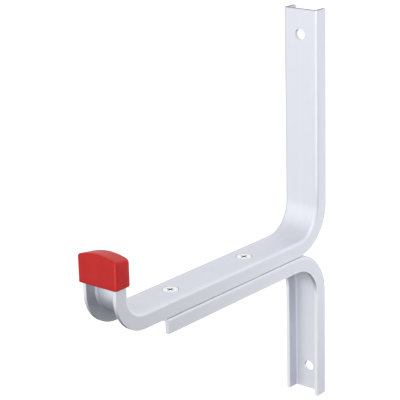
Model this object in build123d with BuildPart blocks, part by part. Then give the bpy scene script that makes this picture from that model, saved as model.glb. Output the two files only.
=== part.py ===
"""Fixed wall hook for a ladder: two bent aluminium channels bolted together, with a capped tip.

Axes: +X across the channel's width, +Y into the wall (the wall is the plane Y = 0 and the
room is on the -Y side), +Z up. The origin is the centre of the lower wall hole, on the wall.
All sizes are in millimetres.
"""
import os
from math import radians, tan

from build123d import *

# Aluminium channel that both brackets are bent from
channel_width = 30.0
channel_depth = 12.0
channel_wall = 3.0
outer_corner_radius = 2.6
inner_corner_radius = 1.5
flange_edge_radius = 0.3

# Overall layout
hole_spacing = 269.0  # between the two wall holes
hole_to_end = 19.0  # from a wall hole to the end of its leg
seat_height = 104.0  # the face where the brackets meet, above the lower wall hole
arm_reach = 237.0  # wall to the outer edge of the hook
brace_reach = 186.0  # wall to the end of the lower bracket
tip_height = 51.0  # seat face to the end of the hook's tip

# Bend radii of the web's outer face: the inside of the bend on the upper bracket,
# the outside of the bend on the lower one
wall_bend_radius = 23.0
hook_bend_radius = 16.0
brace_bend_radius = 37.0

# Holes through the webs
wall_hole_diameter = 8.5
screw_hole_clearance = 0.6
countersink_clearance = 1.1
countersink_angle = 90.0

# M6 countersunk machine screws with a cross recess
screw_diameter = 6.0
screw_past_nut = 2.6
screw_head_diameter = 11.3
screw_head_land = 0.35
screw_end_chamfer = 0.8
screw_spacing = 83.0
screw_to_brace_end = 20.0
recess_span = 6.2
recess_slot = 1.2
recess_depth = 2.6
recess_taper = 12.0

# Washers and self-locking nuts under the lower web
washer_diameter = 12.0
washer_clearance = 0.4
washer_thickness = 1.6
nut_across_flats = 10.0
nut_hex_height = 4.4
nut_height = 6.0
nut_collar_wall = 0.6
nut_lip = 0.4
insert_wall = 0.8
insert_height = 1.5
thread_clearance = 0.02

# Moulded cap on the hook's tip
cap_wall = 2.0
cap_clearance = 0.1
cap_grip = 15.0  # length of the tip inside the cap
cap_shoulder = 4.9  # shoulders of the arched top above the tip's end, on the room side
cap_crown = 3.2  # rise of the arch above its shoulders
cap_fall = 2.4  # how much lower the top is on the ladder side
cap_room_radius = 1.8
cap_ladder_radius = 4.2
cap_top_radius = 1.6
cap_rim_radius = 0.4

# Places worked out from the sizes above
top_z = hole_spacing + hole_to_end
bottom_z = -hole_to_end
arm_top_z = seat_height + channel_depth
brace_underside_z = seat_height - channel_wall
tip_z = seat_height + tip_height
screw_hole_diameter = screw_diameter + screw_hole_clearance
countersink_diameter = screw_head_diameter + countersink_clearance
countersink_slope = tan(radians(countersink_angle / 2))
head_sink = countersink_clearance / 2 / countersink_slope
head_radius = screw_head_diameter / 2
shank_radius = screw_diameter / 2
head_cone_depth = screw_head_land + (head_radius - shank_radius) / countersink_slope
screw_top_z = arm_top_z - head_sink + screw_head_land
washer_bore = screw_diameter + washer_clearance
insert_diameter = screw_diameter + 2 * insert_wall
nut_collar_diameter = insert_diameter + 2 * nut_collar_wall
washer_z = brace_underside_z - washer_thickness
nut_z = washer_z - nut_height
screw_length = screw_top_z - nut_z + screw_past_nut
front_screw_y = screw_to_brace_end - brace_reach
screw_ys = [front_screw_y, front_screw_y + screw_spacing]


def channel_section(plane):
    """U section: the flange edges lie on the plane's x axis and the web is channel_depth up its y."""
    with BuildSketch(plane) as section:
        with Locations((0, channel_depth / 2)):
            Rectangle(channel_width, channel_depth)
        with Locations((0, (channel_depth - channel_wall) / 2)):
            Rectangle(
                channel_width - 2 * channel_wall,
                channel_depth - channel_wall,
                mode=Mode.SUBTRACT,
            )
        fillet(section.vertices().group_by(Axis.Y)[1], inner_corner_radius)
        fillet(section.vertices().group_by(Axis.Y)[-1], outer_corner_radius)
        fillet(section.vertices().group_by(Axis.Y)[0], flange_edge_radius)
    return section.sketch


def wall_hole(web_face_y, height):
    """Plain hole along Y through the web whose room-side face is at web_face_y."""
    with Locations(Plane((0, web_face_y, height), x_dir=(1, 0, 0), z_dir=(0, -1, 0))):
        Hole(wall_hole_diameter / 2, depth=channel_wall)


# Upper bracket: down the wall, out along the arm and up into the hook.
# Its flange edges follow the path, so the web faces the room, the sky and the ladder.
with BuildPart() as upper_bracket:
    with BuildLine(Plane.YZ):
        FilletPolyline(
            (0, top_z),
            (0, seat_height),
            (-arm_reach, seat_height),
            (-arm_reach, tip_z),
            radius=[wall_bend_radius + channel_depth, hook_bend_radius + channel_depth],
        )
    sweep(sections=channel_section(Plane((0, 0, top_z), x_dir=(1, 0, 0), z_dir=(0, 0, -1))))
    wall_hole(-channel_depth, hole_spacing)
    with Locations([(0, y, arm_top_z) for y in screw_ys]):
        CounterSinkHole(
            screw_hole_diameter / 2,
            countersink_diameter / 2,
            depth=channel_wall,
            counter_sink_angle=countersink_angle,
        )
upper_bracket.part.label = "upper_bracket"

# Lower bracket: up the wall and out under the arm, with its web on the outside of the bend
with BuildPart() as lower_bracket:
    with BuildLine(Plane.YZ):
        FilletPolyline(
            (0, bottom_z),
            (0, seat_height),
            (-brace_reach, seat_height),
            radius=brace_bend_radius,
        )
    sweep(sections=channel_section(Plane.XY.offset(bottom_z).shift_origin((0, -channel_depth, bottom_z))))
    wall_hole(-channel_wall, 0)
    with Locations([(0, y, seat_height) for y in screw_ys]):
        Hole(screw_hole_diameter / 2, depth=channel_wall)
lower_bracket.part.label = "lower_bracket"

# Clamp screws: one turned screw with a tapered cross recess, at both places
with BuildPart(mode=Mode.PRIVATE) as screw:
    with BuildSketch(Plane.XZ):
        with BuildLine():
            Polyline(
                (0, 0),
                (head_radius, 0),
                (head_radius, -screw_head_land),
                (shank_radius, -head_cone_depth),
                (shank_radius, screw_end_chamfer - screw_length),
                (shank_radius - screw_end_chamfer, -screw_length),
                (0, -screw_length),
                close=True,
            )
        make_face()
    revolve(axis=Axis.Z)
    with BuildSketch(Plane.XY):
        Rectangle(recess_span, recess_slot)
        Rectangle(recess_slot, recess_span)
    extrude(amount=-recess_depth, taper=recess_taper, mode=Mode.SUBTRACT)

with BuildPart() as clamp_screws:
    with Locations([(0, y, screw_top_z) for y in screw_ys]):
        add(screw.part)
clamp_screws.part.label = "clamp_screws"

# Flat washers under the lower web
with BuildPart() as clamp_washers:
    with BuildSketch(Plane.XY.offset(washer_z)):
        with Locations([(0, y) for y in screw_ys]):
            Circle(washer_diameter / 2)
            Circle(washer_bore / 2, mode=Mode.SUBTRACT)
    extrude(amount=washer_thickness)
clamp_washers.part.label = "clamp_washers"

# Self-locking nuts: a hexagon against the washer and a round collar that holds the insert
with BuildPart() as lock_nuts:
    with BuildSketch(Plane.XY.offset(washer_z)):
        with Locations([(0, y) for y in screw_ys]):
            RegularPolygon(nut_across_flats / 2, 6, major_radius=False)
    extrude(amount=-nut_hex_height)
    with BuildSketch(Plane.XY.offset(nut_z)):
        with Locations([(0, y) for y in screw_ys]):
            Circle(nut_collar_diameter / 2)
    extrude(amount=nut_height)
    with BuildSketch(Plane.XY.offset(nut_z)):
        with Locations([(0, y) for y in screw_ys]):
            Circle(screw_diameter / 2 + thread_clearance)
    extrude(amount=nut_height, mode=Mode.SUBTRACT)
    with BuildSketch(Plane.XY.offset(nut_z + nut_lip)):
        with Locations([(0, y) for y in screw_ys]):
            Circle(insert_diameter / 2)
    extrude(amount=insert_height, mode=Mode.SUBTRACT)
lock_nuts.part.label = "lock_nuts"

# Nylon locking rings inside the nuts' collars
with BuildPart() as nut_inserts:
    with BuildSketch(Plane.XY.offset(nut_z + nut_lip)):
        with Locations([(0, y) for y in screw_ys]):
            Circle(insert_diameter / 2)
            Circle(screw_diameter / 2 + thread_clearance, mode=Mode.SUBTRACT)
    extrude(amount=insert_height)
nut_inserts.part.label = "nut_inserts"

# Cap: a rectangular cup, open below and pushed over the hook's tip. Its arched top is cut by a
# cylinder that leans down towards the ladder side.
cap_gap = cap_wall + cap_clearance
cap_half_width = channel_width / 2 + cap_gap
cap_depth = channel_depth + 2 * cap_gap
cap_bottom_z = tip_z - cap_grip
cap_crown_z = tip_z + cap_shoulder + cap_crown
cap_arch_radius = (cap_half_width**2 + cap_crown**2) / (2 * cap_crown)
cap_arch = Plane((0, -arm_reach - cap_gap, cap_crown_z), x_dir=(1, 0, 0), z_dir=(0, cap_depth, -cap_fall))

with BuildPart() as hook_cap:
    with BuildSketch(Plane.XY.offset(cap_bottom_z)) as cup:
        with Locations((0, channel_depth / 2 - arm_reach)):
            Rectangle(2 * cap_half_width, cap_depth)
        fillet(cup.vertices().group_by(Axis.Y)[0], cap_room_radius)
        fillet(cup.vertices().group_by(Axis.Y)[-1], cap_ladder_radius)
    extrude(amount=cap_crown_z - cap_bottom_z)
    with Locations(cap_arch.shift_origin(cap_arch.origin + cap_arch.y_dir * cap_arch_radius)):
        Cylinder(cap_arch_radius, 3 * cap_depth, mode=Mode.INTERSECT)
    fillet(hook_cap.faces().sort_by(Axis.Z)[-1].edges(), cap_top_radius)
    fillet(hook_cap.edges().group_by(Axis.Z)[0], cap_rim_radius)
    with BuildSketch(Plane.XY.offset(cap_bottom_z)) as pocket:
        with Locations((0, channel_depth / 2 - arm_reach)):
            Rectangle(channel_width + 2 * cap_clearance, channel_depth + 2 * cap_clearance)
        fillet(pocket.vertices().group_by(Axis.Y)[-1], outer_corner_radius)
    extrude(amount=cap_grip + cap_clearance, mode=Mode.SUBTRACT)
hook_cap.part.label = "hook_cap"

os.makedirs("parts", exist_ok=True)
export_step(upper_bracket.part, "parts/upper_bracket.step")
export_step(lower_bracket.part, "parts/lower_bracket.step")
export_step(clamp_screws.part, "parts/clamp_screws.step")
export_step(clamp_washers.part, "parts/clamp_washers.step")
export_step(lock_nuts.part, "parts/lock_nuts.step")
export_step(nut_inserts.part, "parts/nut_inserts.step")
export_step(hook_cap.part, "parts/hook_cap.step")
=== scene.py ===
"""Looks for the ladder wall hook: satin anodised channels, a moulded red cap and zinc-plated fasteners.

Axes, as in the CAD frame: +X across the channels' width, +Y into the wall, +Z up, in metres.
The brackets are the CAD's own solids with a better material. The cap, screws, washers, nuts
and locking rings are rebuilt as finer meshes that stand for their CAD nodes.
"""
from math import atan2, cos, pi, radians, sin, sqrt, tau

import bmesh
import bpy
from mathutils import Matrix, Vector


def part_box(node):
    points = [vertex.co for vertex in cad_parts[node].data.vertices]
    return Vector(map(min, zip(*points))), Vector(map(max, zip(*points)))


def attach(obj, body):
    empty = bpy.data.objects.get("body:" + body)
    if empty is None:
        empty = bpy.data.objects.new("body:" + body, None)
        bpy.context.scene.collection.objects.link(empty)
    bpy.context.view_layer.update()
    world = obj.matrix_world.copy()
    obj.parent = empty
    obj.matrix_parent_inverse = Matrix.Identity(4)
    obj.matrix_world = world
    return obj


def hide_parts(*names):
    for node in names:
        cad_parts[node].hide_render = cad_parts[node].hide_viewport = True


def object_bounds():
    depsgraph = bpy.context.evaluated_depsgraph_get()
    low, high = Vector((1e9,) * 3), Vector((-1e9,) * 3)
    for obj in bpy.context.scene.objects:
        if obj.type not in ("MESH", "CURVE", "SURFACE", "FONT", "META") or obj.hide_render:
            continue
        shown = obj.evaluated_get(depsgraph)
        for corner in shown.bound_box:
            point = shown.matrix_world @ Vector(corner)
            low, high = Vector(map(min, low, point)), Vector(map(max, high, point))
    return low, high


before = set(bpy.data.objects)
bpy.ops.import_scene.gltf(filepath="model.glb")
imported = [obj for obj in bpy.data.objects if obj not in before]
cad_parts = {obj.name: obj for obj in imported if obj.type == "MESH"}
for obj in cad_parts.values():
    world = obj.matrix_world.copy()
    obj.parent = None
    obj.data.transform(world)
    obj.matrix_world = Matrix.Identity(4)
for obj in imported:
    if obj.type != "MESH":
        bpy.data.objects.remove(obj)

cad_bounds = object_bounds()

# Channel that both brackets are bent from: its depth, the height of its web's inner face above
# the flange edges, and how far the flanges' inner faces are from its middle
CHANNEL_DEPTH = 0.012
WEB_INNER_DEPTH = 0.009
FLANGE_INNER_X = 0.012

# Radii of the line that each channel's section follows
WALL_BEND_RADIUS = 0.035
HOOK_BEND_RADIUS = 0.028
BRACE_BEND_RADIUS = 0.037

# Screws and nuts
HEAD_LAND = 0.00035
HEAD_RIM = 0.00012
SHANK_RADIUS = 0.003
THREAD_PITCH = 0.001
THREAD_DEPTH = 0.00055
THREAD_CHAMFER = 0.0008
THREAD_ROWS_PER_TURN = 8
PLAIN_SHANK = 0.0016
NUT_HEX_HEIGHT = 0.0044
NUT_COLLAR_RADIUS = 0.0044
BORE_RADIUS = 0.00302
WASHER_BORE_RADIUS = 0.0032
ROUND_STEPS = 48
NUT_STEPS = 96

# Cross recess: depth, reach of a wing and half its width, in millimetres, from the face down
RECESS_LEVELS = (
    (0.0, 3.1, 0.66),
    (0.12, 2.95, 0.58),
    (0.9, 2.35, 0.5),
    (1.8, 1.7, 0.42),
    (2.6, 1.1, 0.34),
)
RECESS_BOTTOM = 0.00275
RECESS_REACH = 0.0033

# Cap: a cup whose arched top falls towards the ladder side
CAP_WALL = 0.002
CAP_CROWN = 0.0032
CAP_FALL = 0.0024
CAP_GRIP = 0.015
CAP_ROOM_RADIUS = 0.0018
CAP_LADDER_RADIUS = 0.0042
CAP_TOP_RADIUS = 0.0016
CAP_RIM_RADIUS = 0.0004
CAP_CROWN_Z = 0.1631
CAP_MOUTH_CHAMFER = 0.0003
LONG_STEPS = 20
SHORT_STEPS = 6

MM = 0.001

# Colours of the finishes, and of the painted light and shade
SILVER = (0.735, 0.76, 0.82, 1.0)
SILVER_LIGHT = (0.77, 0.79, 0.855, 1.0)
SILVER_EDGE_HIGHLIGHT = (0.86, 0.87, 0.905, 1.0)
SILVER_HIGHLIGHT = (0.90, 0.915, 0.96, 1.0)
SILVER_WEB_LIGHT = (0.88, 0.93, 0.99, 1.0)
SAWN_GREY = (0.26, 0.265, 0.28, 1.0)
INNER_SHADE_GREY = (0.42, 0.43, 0.47, 1.0)
SEAM_SHADE_GREY = (0.28, 0.29, 0.32, 1.0)
COUNTERSINK_SHADE = (0.10, 0.10, 0.11, 1.0)
ZINC = (0.91, 0.92, 0.935, 1.0)
ZINC_LIGHT = (0.96, 0.965, 0.975, 1.0)
RECESS_SHADE = (0.012, 0.012, 0.014, 1.0)
RED = (0.50, 0.008, 0.008, 1.0)
RED_LIGHT = (0.56, 0.011, 0.010, 1.0)
RED_HIGHLIGHT = (0.67, 0.050, 0.040, 1.0)
RED_RIM_SHADE = (0.20, 0.010, 0.012, 1.0)
NYLON = (0.74, 0.78, 0.80, 1.0)
NYLON_LIGHT = (0.84, 0.86, 0.86, 1.0)
FLOOR_WHITE = (0.93, 0.93, 0.93, 1.0)
FLOOR_LIGHT = (0.95, 0.95, 0.95, 1.0)
WHITE = (1.0, 1.0, 1.0, 1.0)

# Camera: where it looks, and from where
CAMERA_TARGET = Vector((-0.0211, -0.1063, 0.1615))
CAMERA_AZIMUTH = 40.16
CAMERA_ELEVATION = 17.72
CAMERA_ROLL = -1.55
CAMERA_DISTANCE = 1.1407
CAMERA_LENS = 141.86

# Floor, below the hook
FLOOR_HALF = 8.0
FLOOR_DROP = 0.25

# Light from the studio's walls: how it narrows, what is left of it from straight below, and each
# wall's direction and strength
WALL_FALLOFF = 1.5
UNDER_SHADE = 0.25
STUDIO_WALLS = (
    ((0.0, 0.0, 1.0), 0.65),
    ((0.0, 0.0, -1.0), 0.32),
    ((-1.0, 0.0, 0.0), 0.63),
    ((0.0, -1.0, 0.0), 1.34),
    ((0.0, 1.0, 0.0), 0.80),
)

# Softboxes round the hook: name, azimuth, elevation, distance, side and power. "front" stands
# below the horizon, because upright faces seen from above reflect what is low.
SOFTBOXES = (
    ("side", 103.0, 15.0, 1.6, 0.9, 4.6),
    ("key", 60.0, 50.0, 1.6, 0.9, 4.0),
    ("back", 180.0, 40.0, 1.6, 0.9, 1.0),
    ("front", 70.0, -10.0, 1.6, 0.9, 4.5),
)

# Column of small softboxes beside the legs, on the wall's side: name, height and power
COLUMN_PLACE = (0.3, 0.3)
COLUMN_AIM = Vector((0.0, -0.05, 0.13))
COLUMN_SIDE = 0.3
COLUMN = (
    ("column_low", -0.15, 0.12),
    ("column_middle", 0.05, 0.16),
    ("column_high", 0.3, 0.15),
)

upper_low, upper_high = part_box("upper_bracket")
lower_low, lower_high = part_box("lower_bracket")
screws_low, screws_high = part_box("clamp_screws")
washers_low, washers_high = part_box("clamp_washers")
nuts_low, nuts_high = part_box("lock_nuts")
inserts_low, inserts_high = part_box("nut_inserts")
cap_low, cap_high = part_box("hook_cap")

HEAD_RADIUS = screws_high.x
SCREW_YS = (screws_low.y + HEAD_RADIUS, screws_high.y - HEAD_RADIUS)

# Sawn end of each bracket's leg: its height and whether it faces up or down
UPPER_END = (upper_high.z, 1.0)
LOWER_END = (lower_low.z, -1.0)


# ---------------------------------------------------------------- node helpers

class Nodes:
    """Short calls for building one node tree."""

    def __init__(self, tree):
        self.tree = tree
        self.tree.nodes.clear()

    def add(self, kind, **values):
        node = self.tree.nodes.new(kind)
        for name, value in values.items():
            setattr(node, name, value)
        return node

    def link(self, source, target):
        self.tree.links.new(source, target)

    def put(self, socket, value):
        if isinstance(value, bpy.types.NodeSocket):
            self.link(value, socket)
        else:
            socket.default_value = value

    def math(self, operation, *values):
        node = self.add("ShaderNodeMath", operation=operation)
        for socket, value in zip(node.inputs, values):
            self.put(socket, value)
        return node.outputs[0]

    def product(self, first, *others):
        for other in others:
            first = self.math("MULTIPLY", first, other)
        return first

    def past(self, value, limit):
        """How far a value is above a limit, and 0 below it."""
        return self.math("MAXIMUM", self.math("SUBTRACT", value, limit), 0.0)

    def short_of(self, value, limit):
        """How far a value is below a limit, and 0 above it."""
        return self.math("MAXIMUM", self.math("SUBTRACT", limit, value), 0.0)

    def length(self, a, b):
        """Length of the flat vector (a, b)."""
        squares = self.math("ADD", self.math("POWER", a, 2.0), self.math("POWER", b, 2.0))
        return self.math("SQRT", squares)

    def position(self):
        """The surface point in the object's own frame, in metres: as a vector, and its X, Y and Z."""
        place = self.add("ShaderNodeTexCoord").outputs["Object"]
        split = self.add("ShaderNodeSeparateXYZ")
        self.link(place, split.inputs[0])
        return place, split.outputs

    def vector(self, x, y, z):
        node = self.add("ShaderNodeCombineXYZ")
        for socket, value in zip(node.inputs, (x, y, z)):
            self.put(socket, value)
        return node.outputs[0]

    def noise(self, vector, scale, detail=2.0, roughness=0.5):
        node = self.add("ShaderNodeTexNoise")
        self.link(vector, node.inputs["Vector"])
        node.inputs["Scale"].default_value = scale
        node.inputs["Detail"].default_value = detail
        node.inputs["Roughness"].default_value = roughness
        return node.outputs["Fac"]

    def span(self, value, low, high, to_low=0.0, to_high=1.0, smooth=True):
        """Maps low..high to to_low..to_high, held at the ends."""
        kind = "SMOOTHSTEP" if smooth else "LINEAR"
        node = self.add("ShaderNodeMapRange", interpolation_type=kind)
        for name, number in (
            ("From Min", low), ("From Max", high), ("To Min", to_low), ("To Max", to_high)
        ):
            node.inputs[name].default_value = number
        self.link(value, node.inputs["Value"])
        return node.outputs["Result"]

    def mix(self, factor, a, b):
        node = self.add("ShaderNodeMix", data_type="RGBA")
        self.put(node.inputs["Factor"], factor)
        self.put(node.inputs["A"], a)
        self.put(node.inputs["B"], b)
        return node.outputs["Result"]

    def bump(self, height, distance, normal=None):
        node = self.add("ShaderNodeBump")
        node.inputs["Distance"].default_value = distance
        node.inputs["Strength"].default_value = 1.0
        self.link(height, node.inputs["Height"])
        if normal is not None:
            self.link(normal, node.inputs["Normal"])
        return node.outputs["Normal"]

    def surface(self, base, roughness, normal=None, **constants):
        shader = self.add("ShaderNodeBsdfPrincipled")
        self.put(shader.inputs["Base Color"], base)
        self.put(shader.inputs["Roughness"], roughness)
        if normal is not None:
            self.link(normal, shader.inputs["Normal"])
        for name, value in constants.items():
            shader.inputs[name.replace("_", " ")].default_value = value
        output = self.add("ShaderNodeOutputMaterial")
        self.link(shader.outputs["BSDF"], output.inputs["Surface"])


def new_material(name):
    material = bpy.data.materials.new(name)
    material.use_nodes = True
    return material, Nodes(material.node_tree)


# ---------------------------------------------------------------- materials

def upper_depth(n, y, z):
    """Distance of a point from the upper bracket's flange edges, square to the bent channel."""
    wall_y = upper_high.y - WALL_BEND_RADIUS
    wall_z = upper_low.z + WALL_BEND_RADIUS
    hook_y = upper_low.y + HOOK_BEND_RADIUS
    hook_z = upper_low.z + HOOK_BEND_RADIUS
    wall_bend = n.length(n.past(y, wall_y), n.short_of(z, wall_z))
    hook_bend = n.length(n.short_of(y, hook_y), n.short_of(z, hook_z))
    on_wall_side = n.math("GREATER_THAN", y, (wall_y + hook_y) / 2)
    on_hook_side = n.math("SUBTRACT", 1.0, on_wall_side)
    wall_depth = n.math("SUBTRACT", WALL_BEND_RADIUS, wall_bend)
    hook_depth = n.math("SUBTRACT", HOOK_BEND_RADIUS, hook_bend)
    return n.math("ADD", n.product(on_wall_side, wall_depth), n.product(on_hook_side, hook_depth))


def lower_depth(n, y, z):
    """Distance of a point from the lower bracket's flange edges, square to the bent channel."""
    bend_y = lower_high.y - BRACE_BEND_RADIUS
    bend_z = lower_high.z - BRACE_BEND_RADIUS
    bend = n.length(n.past(y, bend_y), n.past(z, bend_z))
    return n.math("ADD", n.math("SUBTRACT", bend, BRACE_BEND_RADIUS), CHANNEL_DEPTH)


def sawn_end(n, z, height, facing):
    """1 on a leg's sawn end face, at a height and facing up (1) or down (-1)."""
    along = n.math("MULTIPLY", z, facing)
    return n.span(along, height * facing - 0.05 * MM, height * facing - 0.02 * MM)


def screw_radius(n, x, y):
    """Distance of a point from the nearer screw's axis."""
    middle = sum(SCREW_YS) / 2
    along = n.math("ABSOLUTE", n.math("SUBTRACT", y, middle))
    offset = n.math("SUBTRACT", along, (SCREW_YS[1] - SCREW_YS[0]) / 2)
    return n.length(x, offset)


def near_axis(n, radius, reach):
    """1 within reach of a screw's axis, falling to 0 just beyond."""
    return n.span(radius, reach, reach + 0.05 * MM, 1.0, 0.0)


def countersunk(n, x, y, z):
    """1 on the bare cone of a countersink, where dark shade is painted on."""
    within = near_axis(n, screw_radius(n, x, y), HEAD_RADIUS + 0.6 * MM)
    below_face = n.span(z, screws_high.z - 0.3 * MM, screws_high.z + 0.12 * MM, 1.0, 0.0)
    return n.product(within, below_face)


def from_seat(n, z):
    """Distance above or below the face where the brackets meet."""
    return n.math("ABSOLUTE", n.math("SUBTRACT", z, upper_low.z))


def leg_corner_highlight(n, x, z, depth):
    """1 along the outer corners of the straight legs, where a highlight is painted on and roughness is
    lowered.
    """
    near_web = n.span(depth, CHANNEL_DEPTH - 2.0 * MM, CHANNEL_DEPTH - 0.9 * MM)
    near_side = n.span(n.math("ABSOLUTE", x), upper_high.x - 2.0 * MM, upper_high.x - 0.9 * MM)
    on_leg = n.span(from_seat(n, z), 35.0 * MM, 55.0 * MM)
    return n.product(on_leg, near_web, near_side)


def seam_shade(n, y, z):
    """1 in the narrow groove where the brackets meet, where shade is painted on in grey."""
    in_groove = n.span(from_seat(n, z), 0.1 * MM, 0.36 * MM, 1.0, 0.0)
    along_arm = n.span(y, lower_low.y - 0.5 * MM, lower_low.y)
    return n.product(in_groove, along_arm)


def inner_face_shade(n, x, y, z, depth):
    """Painted shade on the flanges' inner faces, darkest down in the hook and a little stronger higher
    up.
    """
    across = n.math("ABSOLUTE", x)
    inside = n.span(across, FLANGE_INNER_X + 0.1 * MM, FLANGE_INNER_X + 0.5 * MM, 1.0, 0.0)
    below_web = n.span(depth, WEB_INNER_DEPTH - 1.6 * MM, WEB_INNER_DEPTH - 0.6 * MM, 1.0, 0.0)
    in_hook = n.span(y, upper_low.y + 18.0 * MM, upper_low.y + 40.0 * MM, 0.35, 0.0)
    shade_higher_up = n.span(z, 20.0 * MM, 85.0 * MM, 0.0, 0.3)
    return n.product(n.math("ADD", in_hook, shade_higher_up), inside, below_web)


def hook_web_light(n, x, y, depth):
    """1 on the web's inner face in the hook, where painted light makes it brighter and bluer."""
    across = n.math("ABSOLUTE", x)
    inside = n.span(across, FLANGE_INNER_X - 2.0 * MM, FLANGE_INNER_X - 0.5 * MM, 1.0, 0.0)
    on_web = n.span(depth, WEB_INNER_DEPTH - 0.6 * MM, WEB_INNER_DEPTH - 0.2 * MM)
    in_hook = n.span(y, upper_low.y + 14.0 * MM, upper_low.y + 24.0 * MM, 1.0, 0.0)
    return n.product(in_hook, inside, on_web)


def upper_marks(n, base, x, y, z, depth):
    """What only the upper bracket has: painted light on the web's inner face in the hook, and painted
    shade in the countersinks.
    """
    # Painted light on the web's inner face in the hook
    base = n.mix(n.product(hook_web_light(n, x, y, depth), 0.6), base, SILVER_WEB_LIGHT)
    # Painted shade on the countersink cones around the screw heads
    return n.mix(countersunk(n, x, y, z), base, COUNTERSINK_SHADE)


def aluminium(name, depth_of, end, marks=None):
    """Satin silver anodising over extrusion lines, with painted highlights on edges and corners, painted
    shade in hollows.
    """
    material, n = new_material(name)
    place, (x, y, z) = n.position()
    depth = depth_of(n, y, z)
    slow = n.noise(place, 14.0, detail=3.0)
    drift = n.product(slow, 0.0004)
    lines = n.vector(n.math("ADD", x, drift), depth, n.product(slow, 0.002))
    fine = n.noise(lines, 2600.0, detail=3.0, roughness=0.6)
    broad = n.noise(lines, 420.0)
    speckle = n.noise(place, 5200.0, detail=1.0)
    cloud = n.noise(place, 60.0, detail=4.0, roughness=0.6)

    # Painted highlight: the flange edge faces are made lighter
    edge = n.span(depth, 0.3 * MM, 1.2 * MM, 1.0, 0.0)
    corner = leg_corner_highlight(n, x, z, depth)
    tone = n.math("ADD", n.product(cloud, 0.5), n.product(broad, 0.5))
    base = n.mix(n.span(tone, 0.35, 0.65), SILVER, SILVER_LIGHT)
    base = n.mix(n.product(edge, 0.8), base, SILVER_EDGE_HIGHLIGHT)
    # Painted highlight along the legs' outer corners; the same mask also lowers roughness there
    base = n.mix(n.product(corner, 0.8), base, SILVER_HIGHLIGHT)
    base = n.mix(n.product(sawn_end(n, z, *end), 0.85), base, SAWN_GREY)
    # Painted shade on the flanges' inner faces
    base = n.mix(inner_face_shade(n, x, y, z, depth), base, INNER_SHADE_GREY)
    # Painted shade in the groove where the brackets meet
    base = n.mix(seam_shade(n, y, z), base, SEAM_SHADE_GREY)
    if marks is not None:
        base = marks(n, base, x, y, z, depth)
    drawn = n.span(broad, 0.3, 0.7, 0.46, 0.54, smooth=False)
    clouded = n.span(cloud, 0.3, 0.7, -0.03, 0.03, smooth=False)
    roughness = n.math("SUBTRACT", n.math("ADD", drawn, clouded), n.product(corner, 0.08))
    height = n.math("ADD", n.product(fine, 0.8), n.product(speckle, 0.35))
    n.surface(base, roughness, n.bump(height, 0.006 * MM), Metallic=0.85)
    return material


def zinc(name, turned=False):
    """Bright zinc plating; a turned screw has fine rings about its axis and painted shade in its recess.
    """
    material, n = new_material(name)
    place, (x, y, z) = n.position()
    mottle = n.noise(place, 900.0, detail=4.0, roughness=0.6)
    grain = n.noise(place, 6500.0)
    base = n.mix(n.span(mottle, 0.3, 0.7), ZINC, ZINC_LIGHT)
    height = n.product(grain, 0.5)
    if turned:
        radius = screw_radius(n, x, y)
        rings = n.noise(n.vector(radius, z, 0.0), 9000.0, detail=1.0)
        height = n.math("ADD", height, n.product(rings, 0.7))
        below = n.span(z, screws_high.z - 0.2 * MM, screws_high.z - 0.05 * MM, 1.0, 0.0)
        above = n.span(z, screws_high.z - 3.0 * MM, screws_high.z - 2.9 * MM)
        # Painted shade inside the cross recess
        recess = n.product(near_axis(n, radius, RECESS_REACH), below, above)
        base = n.mix(recess, base, RECESS_SHADE)
    roughness = n.span(mottle, 0.25, 0.75, 0.26, 0.36, smooth=False)
    n.surface(base, roughness, n.bump(height, 0.008 * MM), Metallic=0.4)
    return material


def cap_corner_highlights(n, x, y):
    """1 along the cap's upright corners on the room side, where a paler highlight is painted on."""
    out_x = n.span(n.math("ABSOLUTE", x), cap_high.x - 1.5 * MM, cap_high.x - 0.6 * MM)
    out_y = n.span(n.product(y, -1.0), -cap_low.y - 1.5 * MM, -cap_low.y - 0.6 * MM)
    return n.product(out_x, out_y)


def red_plastic():
    """Moulded red plastic: soft gloss over a fine spark-eroded texture, with painted highlights on its
    upright room-side corners and painted shade along its lower rim.
    """
    material, n = new_material("red_plastic")
    place, (x, y, z) = n.position()
    flow = n.noise(place, 90.0, detail=4.0, roughness=0.6)
    grain = n.noise(place, 3600.0, roughness=0.6)
    orange_peel = n.noise(place, 700.0)
    corner_highlight = cap_corner_highlights(n, x, y)
    rim = n.span(z, cap_low.z + 0.2 * MM, cap_low.z + 0.7 * MM, 1.0, 0.0)
    base = n.mix(n.span(flow, 0.3, 0.7), RED, RED_LIGHT)
    # Painted highlight on the cap's room-side upright corners; the same mask also lowers roughness there
    base = n.mix(corner_highlight, base, RED_HIGHLIGHT)
    # Painted shade along the cap's lower rim, where it meets the channel
    base = n.mix(n.product(rim, 0.6), base, RED_RIM_SHADE)
    flowed = n.span(flow, 0.3, 0.7, 0.36, 0.44, smooth=False)
    grained = n.span(grain, 0.3, 0.7, -0.04, 0.04, smooth=False)
    roughness = n.math("SUBTRACT", n.math("ADD", flowed, grained), n.product(corner_highlight, 0.1))
    normal = n.bump(orange_peel, 0.03 * MM, normal=n.bump(grain, 0.015 * MM))
    n.surface(base, roughness, normal, IOR=1.4, Specular_IOR_Level=0.35)
    return material


def nylon():
    """Cloudy natural nylon with a trace of blue."""
    material, n = new_material("nylon")
    place, _ = n.position()
    cloud = n.noise(place, 700.0, detail=3.0)
    base = n.mix(n.span(cloud, 0.3, 0.7), NYLON, NYLON_LIGHT)
    normal = n.bump(n.noise(place, 4000.0), 0.01 * MM)
    n.surface(base, n.span(cloud, 0.3, 0.7, 0.42, 0.52, smooth=False), normal, IOR=1.53)
    return material


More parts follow.
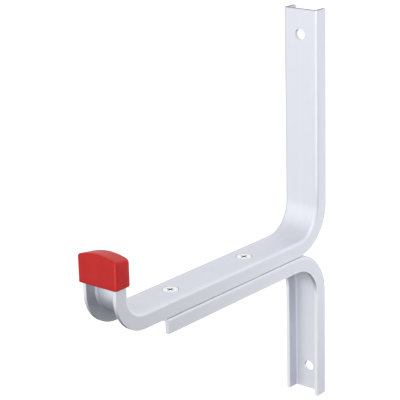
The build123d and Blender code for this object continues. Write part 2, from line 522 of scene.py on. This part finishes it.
def floor_material():
    """Pale studio floor, faintly mottled."""
    material, n = new_material("studio_floor")
    place, _ = n.position()
    mottle = n.noise(place, 3.0, detail=3.0)
    base = n.mix(n.span(mottle, 0.3, 0.7), FLOOR_WHITE, FLOOR_LIGHT)
    roughness = n.span(mottle, 0.3, 0.7, 0.75, 0.8, smooth=False)
    n.surface(base, roughness, Emission_Color=WHITE, Emission_Strength=0.45)
    return material


# ---------------------------------------------------------------- mesh helpers

def finish_mesh(name, bm, material, smooth_angle=35.0):
    """Turns a bmesh into an object that is smooth but for edges sharper than smooth_angle."""
    bmesh.ops.remove_doubles(bm, verts=bm.verts, dist=1e-7)
    bmesh.ops.recalc_face_normals(bm, faces=bm.faces)
    for face in bm.faces:
        face.smooth = True
    for edge in bm.edges:
        if len(edge.link_faces) == 2:
            edge.smooth = edge.calc_face_angle(0.0) < radians(smooth_angle)
    mesh = bpy.data.meshes.new(name)
    bm.to_mesh(mesh)
    bm.free()
    mesh.materials.append(material)
    piece = bpy.data.objects.new(name, mesh)
    bpy.context.scene.collection.objects.link(piece)
    return piece


def bridge(bm, low, high):
    """Quads between two closed loops of the same number of vertices."""
    count = len(low)
    for i in range(count):
        j = (i + 1) % count
        corners = (low[i], low[j], high[j], high[i])
        if len(set(corners)) == 4:
            bm.faces.new(corners)


def fan(bm, loop, centre):
    """Triangles from a closed loop to a centre point."""
    middle = bm.verts.new(centre)
    for i, vertex in enumerate(loop):
        bm.faces.new((vertex, loop[(i + 1) % len(loop)], middle))


def ring(bm, centre, radius, z, steps=ROUND_STEPS, turn=0.0):
    """A horizontal circle of vertices about centre, which is (x, y), starting at the angle turn."""
    angles = [tau * i / steps + turn for i in range(steps)]
    return [
        bm.verts.new((centre[0] + radius * cos(angle), centre[1] + radius * sin(angle), z))
        for angle in angles
    ]


def lathe(bm, centre, profile, closed=False):
    """Turns a profile of (radius, z) points about a vertical axis and returns its loops."""
    loops = [ring(bm, centre, radius, z) for radius, z in profile]
    for low, high in zip(loops, loops[1:]):
        bridge(bm, low, high)
    if closed:
        bridge(bm, loops[-1], loops[0])
    return loops


def arc(centre, radius, start, end, steps=5):
    """Points along part of a circle in two coordinates, angles in degrees from the first axis."""
    angles = [radians(start + (end - start) * i / steps) for i in range(steps + 1)]
    return [(centre[0] + radius * cos(angle), centre[1] + radius * sin(angle)) for angle in angles]


# ---------------------------------------------------------------- fasteners

def thread_radius(angle, z, started):
    """Radius of the thread's surface, which grows out of the plain shank as started goes to 1."""
    phase = (z / THREAD_PITCH + angle / tau) % 1.0
    tooth = min(1.0, max(0.0, 1.15 * abs(2.0 * phase - 1.0) - 0.1))
    chamfered = SHANK_RADIUS - max(0.0, screws_low.z + THREAD_CHAMFER - z)
    return min(SHANK_RADIUS - THREAD_DEPTH * started * tooth, chamfered)


def rolled_thread(bm, shank_end, y, top):
    """The thread from the end of the plain shank down; returns its last loop."""
    length = top - screws_low.z
    rows = int(length / THREAD_PITCH * THREAD_ROWS_PER_TURN)
    previous = shank_end
    for row in range(rows + 1):
        z = top - length * row / rows
        loop = []
        for i in range(ROUND_STEPS):
            angle = tau * i / ROUND_STEPS
            radius = thread_radius(angle, z, min(1.0, row / 12.0))
            loop.append(bm.verts.new((radius * cos(angle), y + radius * sin(angle), z)))
        bridge(bm, previous, loop)
        previous = loop
    return previous


def build_screw(name, y, material):
    """A countersunk screw: a turned head with a cross recess, a shank and a rolled thread."""
    top = screws_high.z
    cone_end = top - HEAD_LAND - (HEAD_RADIUS - SHANK_RADIUS)
    bm = bmesh.new()
    head = arc((HEAD_RADIUS - HEAD_RIM, top - HEAD_RIM), HEAD_RIM, 90.0, 0.0, 3)
    head += [
        (HEAD_RADIUS, top - HEAD_LAND),
        (SHANK_RADIUS + 0.15 * MM, cone_end + 0.15 * MM),
        (SHANK_RADIUS - 0.02 * MM, cone_end - 0.15 * MM),
    ]
    loops = lathe(bm, (0.0, y), head)
    screw_end = rolled_thread(bm, loops[-1], y, cone_end - PLAIN_SHANK)
    fan(bm, screw_end, (0.0, y, screws_low.z))
    cross_recess(bm, loops[0], y, top)
    return finish_mesh(name, bm, material, smooth_angle=28.0)


def cross_recess(bm, rim_loop, y, top):
    """Closes a screw head's top with a four-winged recess sunk into it."""
    wings = [
        [
            bm.verts.new((px, y + py, top - depth * MM))
            for px, py in cross_outline(reach * MM, half * MM)
        ]
        for depth, reach, half in RECESS_LEVELS
    ]
    for low, high in zip(wings, wings[1:]):
        bridge(bm, low, high)
    fan(bm, wings[-1], (0.0, y, top - RECESS_BOTTOM))
    face_between(bm, rim_loop, wings[0], y)


def face_between(bm, circle, cross, y):
    """The flat ring between a head's rim and its recess: each rim point joins the nearest wing point."""
    turned = [atan2(vertex.co.y - y, vertex.co.x) for vertex in cross]

    def nearest(vertex):
        """Number of the wing point that lies nearest in angle."""
        angle = atan2(vertex.co.y - y, vertex.co.x)
        return min(range(len(cross)), key=lambda i: abs((turned[i] - angle + pi) % tau - pi))

    matches = [nearest(vertex) for vertex in circle]
    for i in range(len(circle)):
        j = (i + 1) % len(circle)
        here, there = matches[i], matches[j]
        steps = (there - here) % len(cross)
        for k in range(steps):
            a = cross[(here + k) % len(cross)]
            b = cross[(here + k + 1) % len(cross)]
            bm.faces.new((circle[i], b, a))
        bm.faces.new((circle[i], circle[j], cross[there]))


def cross_outline(reach, half):
    """Points round a plus sign with rounded wing tips and inner corners, as (x, y)."""
    tip = half * 0.6
    inner = half * 0.7
    quarter = [
        (reach - tip + tip * cos(radians(angle)), half - tip + tip * sin(radians(angle)))
        for angle in (0.0, 30.0, 60.0, 90.0)
    ]
    quarter += [
        (half + inner + inner * cos(radians(angle)), half + inner + inner * sin(radians(angle)))
        for angle in (270.0, 247.5, 225.0, 202.5, 180.0)
    ]
    quarter += [(b, a) for a, b in reversed(quarter[:4])]
    points = []
    for turn in range(4):
        c = round(cos(turn * pi / 2))
        s = round(sin(turn * pi / 2))
        points += [(px * c - py * s, px * s + py * c) for px, py in quarter]
    return points


def build_washer(name, y, material):
    """A punched flat washer: rounded on the die side, with a small burr line on the other."""
    low, high = washers_low.z, washers_high.z
    outer = washers_high.x
    inner = WASHER_BORE_RADIUS
    r = 0.3 * MM
    c = 0.1 * MM
    bm = bmesh.new()
    profile = arc((outer - r, low + r), r, 270.0, 360.0)
    profile += arc((outer - c, high - c), c, 0.0, 90.0, 2)
    profile += arc((inner + c, high - c), c, 90.0, 180.0, 2)
    profile += arc((inner + r, low + r), r, 180.0, 270.0)
    lathe(bm, (0.0, y), profile, closed=True)
    return finish_mesh(name, bm, material)


def nut_hexagon(bm, y, flat, limit, z):
    """A nut's hexagon, half its width across flats being flat, with its corners cut at limit."""
    loop = []
    for i in range(NUT_STEPS):
        angle = tau * i / NUT_STEPS
        sector = (angle + radians(30.0)) % radians(60.0) - radians(30.0)
        radius = min(flat / cos(sector), limit)
        turn = angle + radians(30.0)
        loop.append(bm.verts.new((radius * cos(turn), y + radius * sin(turn), z)))
    return loop


def build_nut(name, y, material):
    """A self-locking nut: a chamfered hexagon with a round collar rolled over its locking ring."""
    top, bottom = nuts_high.z, nuts_low.z
    hex_low = top - NUT_HEX_HEIGHT
    corner = nuts_high.x
    flat = corner * cos(radians(30.0))
    cut = (corner + flat) / 2
    rise = (corner - flat) * 0.6
    face = flat - 0.1 * MM
    lead = 0.45 * MM
    upper_face = ((BORE_RADIUS + lead, top), (face, top))
    sides = (
        (cut, top - rise / 2),
        (corner, top - rise),
        (corner, hex_low + rise),
        (cut, hex_low + rise / 2),
    )
    collar_and_bore = (
        (face, hex_low),
        (NUT_COLLAR_RADIUS + 0.15 * MM, hex_low),
        (NUT_COLLAR_RADIUS, hex_low - 0.2 * MM),
        (NUT_COLLAR_RADIUS, bottom + 0.6 * MM),
        (NUT_COLLAR_RADIUS - 0.18 * MM, bottom + 0.18 * MM),
        (NUT_COLLAR_RADIUS - 0.6 * MM, bottom),
        (BORE_RADIUS + 0.25 * MM, bottom + 0.05 * MM),
        (BORE_RADIUS, bottom + 0.2 * MM),
        (BORE_RADIUS, top - lead),
    )
    bm = bmesh.new()
    turn = radians(30.0)
    loops = [ring(bm, (0.0, y), radius, z, NUT_STEPS, turn) for radius, z in upper_face]
    loops += [nut_hexagon(bm, y, flat, limit, z) for limit, z in sides]
    loops += [ring(bm, (0.0, y), radius, z, NUT_STEPS, turn) for radius, z in collar_and_bore]
    for low, high in zip(loops, loops[1:]):
        bridge(bm, low, high)
    bridge(bm, loops[-1], loops[0])
    return finish_mesh(name, bm, material, smooth_angle=25.0)


def build_insert(name, y, material):
    """The nylon ring inside a nut's collar."""
    low, high = inserts_low.z, inserts_high.z
    outer = inserts_high.x - 0.02 * MM
    r = 0.25 * MM
    bm = bmesh.new()
    profile = arc((outer - r, low + r), r, 270.0, 360.0, 3)
    profile += arc((outer - r, high - r), r, 0.0, 90.0, 3)
    profile += [(BORE_RADIUS, high), (BORE_RADIUS, low)]
    lathe(bm, (0.0, y), profile, closed=True)
    return finish_mesh(name, bm, material)


# ---------------------------------------------------------------- cap

def between(here, ahead, steps):
    """Points that split the line from here to ahead into equal steps, without its ends."""
    return [
        (here[0] + (ahead[0] - here[0]) * k / steps, here[1] + (ahead[1] - here[1]) * k / steps)
        for k in range(1, steps)
    ]


def cup_outline(inset):
    """Points round the cap's outline: tight corners towards the room, rounder ones by the ladder."""
    half_x = cap_high.x - inset
    low_y = cap_low.y + inset
    high_y = cap_high.y - inset
    room = max(CAP_ROOM_RADIUS - inset, 0.1 * MM)
    ladder = max(CAP_LADDER_RADIUS - inset, 0.1 * MM)
    corners = (
        ((half_x - ladder, high_y - ladder), ladder, 0.0),
        ((-half_x + ladder, high_y - ladder), ladder, 90.0),
        ((-half_x + room, low_y + room), room, 180.0),
        ((half_x - room, low_y + room), room, 270.0),
    )
    arcs = [arc(centre, radius, start, start + 90.0, 10) for centre, radius, start in corners]
    points = []
    for i, turned in enumerate(arcs):
        steps = SHORT_STEPS if i % 2 else LONG_STEPS
        points += turned + between(turned[-1], arcs[(i + 1) % 4][0], steps)
    return points


def flat_loop(bm, inset, z):
    """The cap's outline as a level loop of vertices."""
    return [bm.verts.new((px, py, z)) for px, py in cup_outline(inset)]


def arched_loop(bm, inset, drop):
    """The cap's outline as a loop that keeps a drop below the arched top."""
    return [bm.verts.new((px, py, cap_top(px, py) - drop)) for px, py in cup_outline(inset)]


def wall_loop(bm, share):
    """The cap's outline at a share of the way from the rounded rim to the rounded top edge."""
    base = cap_low.z + CAP_RIM_RADIUS
    loop = []
    for px, py in cup_outline(0.0):
        height = cap_top(px, py) - CAP_TOP_RADIUS - base
        loop.append(bm.verts.new((px, py, base + height * share)))
    return loop


def cap_top(px, py):
    """Height of the cap's arched top, which leans down towards the ladder side."""
    half_x = cap_high.x
    depth = cap_high.y - cap_low.y
    radius = (half_x ** 2 + CAP_CROWN ** 2) / (2 * CAP_CROWN)
    lean = CAP_FALL / depth
    stretch = sqrt(1.0 + lean ** 2)
    return CAP_CROWN_Z - lean * (py - cap_low.y) - (radius - sqrt(radius ** 2 - px ** 2)) * stretch


def cap_skin(bm):
    """The cap's outside, from the rim up over the rounded top edge; returns the rim's loop."""
    loops = []
    for angle in (0.0, 30.0, 60.0):
        inset = CAP_RIM_RADIUS * (1.0 - sin(radians(angle)))
        rise = CAP_RIM_RADIUS * (1.0 - cos(radians(angle)))
        loops.append(flat_loop(bm, inset, cap_low.z + rise))
    loops += [wall_loop(bm, quarter / 4) for quarter in range(5)]
    for angle in (15.0, 30.0, 45.0, 60.0, 75.0, 90.0):
        inset = CAP_TOP_RADIUS * (1.0 - cos(radians(angle)))
        drop = CAP_TOP_RADIUS * (1.0 - sin(radians(angle)))
        loops.append(arched_loop(bm, inset, drop))
    for low, high in zip(loops, loops[1:]):
        bridge(bm, low, high)
    cap_lid(bm, loops[-1])
    return loops[0]


def cap_lid(bm, edge):
    """Closes the cap's top with strips between the matching points of its two long sides."""
    count = len(edge)
    start = count - SHORT_STEPS // 2
    rows = 6
    columns = []
    for i in range(count // 2 + 1):
        near = edge[(start + i) % count]
        far = edge[(start - i) % count]
        column = [near]
        for row in range(1, rows):
            px = near.co.x + (far.co.x - near.co.x) * row / rows
            py = near.co.y + (far.co.y - near.co.y) * row / rows
            column.append(near if near is far else bm.verts.new((px, py, cap_top(px, py))))
        columns.append(column + [far])
    for left, right in zip(columns, columns[1:]):
        for k in range(rows):
            face = list(dict.fromkeys((left[k], right[k], right[k + 1], left[k + 1])))
            bm.faces.new(face)


def build_cap(material):
    """The moulded cap: a cup with an arched top and a pocket for the hook's tip."""
    bm = bmesh.new()
    rim = cap_skin(bm)
    mouth = flat_loop(bm, CAP_WALL - CAP_MOUTH_CHAMFER, cap_low.z)
    inner = flat_loop(bm, CAP_WALL, cap_low.z + CAP_MOUTH_CHAMFER)
    roof = flat_loop(bm, CAP_WALL, cap_low.z + CAP_GRIP)
    for low, high in ((mouth, rim), (inner, mouth), (roof, inner)):
        bridge(bm, low, high)
    bm.faces.new(roof)
    return finish_mesh("cap_moulding", bm, material, smooth_angle=40.0)


# ---------------------------------------------------------------- stage, camera and lights

def build_floor():
    """A wide pale floor below the hook, which hangs free of it as it would on a wall."""
    z = cad_bounds[0][2] - FLOOR_DROP
    signs = ((-1, -1), (1, -1), (1, 1), (-1, 1))
    bm = bmesh.new()
    bm.faces.new([bm.verts.new((sx * FLOOR_HALF, sy * FLOOR_HALF, z)) for sx, sy in signs])
    floor = finish_mesh("studio_floor", bm, floor_material())
    floor.visible_diffuse = False
    floor.visible_glossy = False


def turned_to(azimuth, elevation, roll=0.0):
    """Rotation of a camera or light that looks at the hook from an azimuth and an elevation."""
    return (
        Matrix.Rotation(radians(azimuth), 3, "Z")
        @ Matrix.Rotation(radians(90.0 - elevation), 3, "X")
        @ Matrix.Rotation(radians(roll), 3, "Z")
    )


def aim(thing, turn, distance):
    """Puts a camera or light at a distance from the target, looking at it."""
    place = CAMERA_TARGET + turn @ Vector((0.0, 0.0, distance))
    thing.matrix_world = Matrix.Translation(place) @ turn.to_4x4()


def add_camera():
    """The camera, a long lens at the photographer's place."""
    data = bpy.data.cameras.new("camera")
    data.lens = CAMERA_LENS
    data.sensor_width = 36.0
    data.clip_end = 50.0
    camera = bpy.data.objects.new("camera", data)
    bpy.context.scene.collection.objects.link(camera)
    aim(camera, turned_to(CAMERA_AZIMUTH, CAMERA_ELEVATION, CAMERA_ROLL), CAMERA_DISTANCE)
    bpy.context.scene.camera = camera


def area_light(name, size, power):
    """A square area light at the origin, unseen by the camera."""
    data = bpy.data.lights.new(name, "AREA")
    data.shape = "SQUARE"
    data.size = size
    data.energy = power
    light = bpy.data.objects.new(name, data)
    bpy.context.scene.collection.objects.link(light)
    light.visible_camera = False
    return light


def add_softbox(name, azimuth, elevation, distance, size, power):
    """A softbox that faces the hook from a given direction and distance."""
    aim(area_light(name, size, power), turned_to(azimuth, elevation), distance)


def add_column_light(name, height, power):
    """One of the small softboxes in the column beside the legs."""
    light = area_light(name, COLUMN_SIDE, power)
    light.location = (*COLUMN_PLACE, height)
    light.rotation_euler = (COLUMN_AIM - light.location).to_track_quat("-Z", "Y").to_euler()


def wall_light(n, direction, walls):
    """Strength of the studio's light from a direction: each wall shines most from its own side."""
    total = 0.0
    for facing, strength in walls:
        towards = n.add("ShaderNodeVectorMath", operation="DOT_PRODUCT")
        n.link(direction, towards.inputs[0])
        towards.inputs[1].default_value = facing
        lobe = n.math("POWER", n.math("MAXIMUM", towards.outputs["Value"], 0.0), WALL_FALLOFF)
        total = n.math("ADD", total, n.product(lobe, strength))
    split = n.add("ShaderNodeSeparateXYZ")
    n.link(direction, split.inputs[0])
    return n.product(total, n.span(split.outputs[2], -0.85, -0.3, UNDER_SHADE, 1.0))


def add_world(walls):
    """A white studio: its walls light the hook, and the camera sees plain white."""
    world = bpy.data.worlds.new("studio")
    bpy.context.scene.world = world
    world.use_nodes = True
    n = Nodes(world.node_tree)
    direction = n.add("ShaderNodeTexCoord").outputs["Generated"]
    lighting = n.add("ShaderNodeBackground")
    lighting.inputs["Color"].default_value = WHITE
    n.put(lighting.inputs["Strength"], wall_light(n, direction, walls))
    backdrop = n.add("ShaderNodeBackground")
    backdrop.inputs["Color"].default_value = WHITE
    shown = n.add("ShaderNodeMixShader")
    n.link(n.add("ShaderNodeLightPath").outputs["Is Camera Ray"], shown.inputs[0])
    n.link(lighting.outputs[0], shown.inputs[1])
    n.link(backdrop.outputs[0], shown.inputs[2])
    output = n.add("ShaderNodeOutputWorld")
    n.link(shown.outputs[0], output.inputs["Surface"])


def set_tones():
    """Plain display tones, so that the white studio stays white."""
    bpy.context.scene.view_settings.view_transform = "Standard"
    bpy.context.scene.view_settings.look = "None"


def wear(node, material):
    """Gives a CAD node its finish."""
    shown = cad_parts[node]
    shown.data.materials.clear()
    shown.data.materials.append(material)


def stand_in(piece, node):
    """The piece is shown in the CAD node's place and moves with the one body."""
    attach(piece, "root")
    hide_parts(node)


wear("upper_bracket", aluminium("aluminium_upper", upper_depth, UPPER_END, upper_marks))
wear("lower_bracket", aluminium("aluminium_lower", lower_depth, LOWER_END))

screw_zinc = zinc("zinc_screws", turned=True)
plain_zinc = zinc("zinc_plain")
ring_nylon = nylon()
for where, screw_y in zip(("front", "rear"), SCREW_YS):
    stand_in(build_screw(f"screw_{where}", screw_y, screw_zinc), "clamp_screws")
    stand_in(build_washer(f"washer_{where}", screw_y, plain_zinc), "clamp_washers")
    stand_in(build_nut(f"nut_{where}", screw_y, plain_zinc), "lock_nuts")
    stand_in(build_insert(f"locking_ring_{where}", screw_y, ring_nylon), "nut_inserts")
stand_in(build_cap(red_plastic()), "hook_cap")

build_floor()
add_world(STUDIO_WALLS)
for softbox in SOFTBOXES:
    add_softbox(*softbox)
for column_light in COLUMN:
    add_column_light(*column_light)
add_camera()
set_tones()
